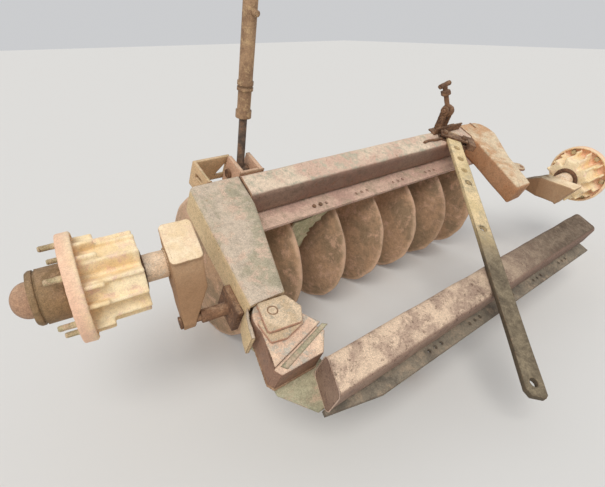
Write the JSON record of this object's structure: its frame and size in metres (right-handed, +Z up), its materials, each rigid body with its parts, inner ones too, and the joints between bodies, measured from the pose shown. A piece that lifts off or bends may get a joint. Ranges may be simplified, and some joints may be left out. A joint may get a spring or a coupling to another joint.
{
  "type": "offset disc harrow",
  "caption": "Scrapped offset disc harrow with its front gang of dished discs, hinged rear frame, swinging wheel arms with bare hubs, and a standing ram.",
  "frame": {"origin": "on the floor, under the middle of the machine's box", "axes": "+X across the machine to the right, +Y forward, +Z up"},
  "size_m": [3.1422, 1.6543, 1.4624],
  "materials": {
    "beam_paint": "worn matt",
    "side_beam_paint": "worn matt",
    "plate_paint": "worn matt",
    "cream_paint": "worn matt",
    "barrel_paint": "worn satin",
    "bar_paint": "worn matt",
    "pale_paint": "worn matt",
    "rusted_steel": "rough",
    "disc_steel": "rough",
    "dark_steel": "rough",
    "ram_paint": "worn satin"
  },
  "bodies": {
    "front_frame": {"front_beam": "beam_paint", "front_gang_plate": "plate_paint", "left_side_beam": "side_beam_paint", "right_side_beam": "side_beam_paint", "hinge_ear": "side_beam_paint", "hinge_pin": "dark_steel", "hinge_cap_plates": "pale_paint", "hitch_bracket": "beam_paint", "ram_clevis": "beam_paint", "ram_foot_pin": "dark_steel", "gang_stands": "rusted_steel", "gang_bearings": "rusted_steel", "scraper": "pale_paint", "angle_bar": "bar_paint", "bar_clamp": "rusted_steel", "link_stand": "rusted_steel", "link_rod": "rusted_steel", "left_arm_pivot": "rusted_steel", "right_arm_pivot": "rusted_steel", "lift_lug": "pale_paint"},
    "front_gang": {"gang_shaft": "dark_steel", "gang_spools": "rusted_steel", "gang_end_nuts": "dark_steel", "disc_1": "disc_steel", "disc_2": "disc_steel", "disc_3": "disc_steel", "disc_4": "disc_steel", "disc_5": "disc_steel", "disc_6": "disc_steel", "disc_7": "disc_steel"},
    "rear_frame": {"rear_beam": "beam_paint", "rear_gang_plate": "plate_paint", "rear_hinge_arm": "cream_paint", "rear_hinge_plate": "plate_paint", "rear_stands": "rusted_steel"},
    "left_arm": {"left_wheel_arm": "cream_paint", "left_stub_axle": "cream_paint"},
    "left_hub": {"left_hub": "cream_paint", "left_hub_studs": "cream_paint", "left_hub_barrel": "barrel_paint"},
    "right_arm": {"right_wheel_arm": "cream_paint", "right_stub_axle": "cream_paint"},
    "right_hub": {"right_hub": "cream_paint", "right_hub_studs": "cream_paint", "right_hub_barrel": "barrel_paint"},
    "ram_rod": {"ram_rod": "dark_steel"},
    "ram_barrel": {"ram_barrel": "ram_paint"}
  },
  "joints": [
    {"name": "rear_frame_swing", "type": "hinge", "parent": "front_frame", "child": "rear_frame", "pos_m": [-0.9219, -0.17563, 0.4416], "axis": [0, -0.4623, 0.8867], "range_deg": [-14, 4]},
    {"name": "front_gang_turn", "type": "hinge", "parent": "front_frame", "child": "front_gang", "pos_m": [-0.0319, 0.49718, 0.33], "axis": [1, 0, 0], "continuous": true},
    {"name": "left_arm_swing", "type": "hinge", "parent": "front_frame", "child": "left_arm", "pos_m": [-1.09754, -0.00058, 0.45843], "axis": [0.97, -0.2329, 0.0698], "range_deg": [-8, 176]},
    {"name": "right_arm_swing", "type": "hinge", "parent": "front_frame", "child": "right_arm", "pos_m": [1.0841, -0.00058, 0.45843], "axis": [1, 0, 0], "range_deg": [-25, 79]},
    {"name": "left_hub_turn", "type": "hinge", "parent": "left_arm", "child": "left_hub", "pos_m": [-1.41893, 0.13722, 0.62815], "axis": [-0.97, 0.2329, -0.0698], "continuous": true},
    {"name": "right_hub_turn", "type": "hinge", "parent": "right_arm", "child": "right_hub", "pos_m": [1.4161, -0.19757, 0.50376], "axis": [1, 0, 0], "continuous": true},
    {"name": "ram_swing", "type": "hinge", "parent": "front_frame", "child": "ram_rod", "pos_m": [-0.6219, 0.42715, 0.76715], "axis": [1, 0, 0], "range_deg": [-50, 40]},
    {"name": "ram_stroke", "type": "slide", "parent": "ram_rod", "child": "ram_barrel", "axis": [0, -0.2, 0.9798], "range_m": [-0.13, 0.15]}
  ]
}
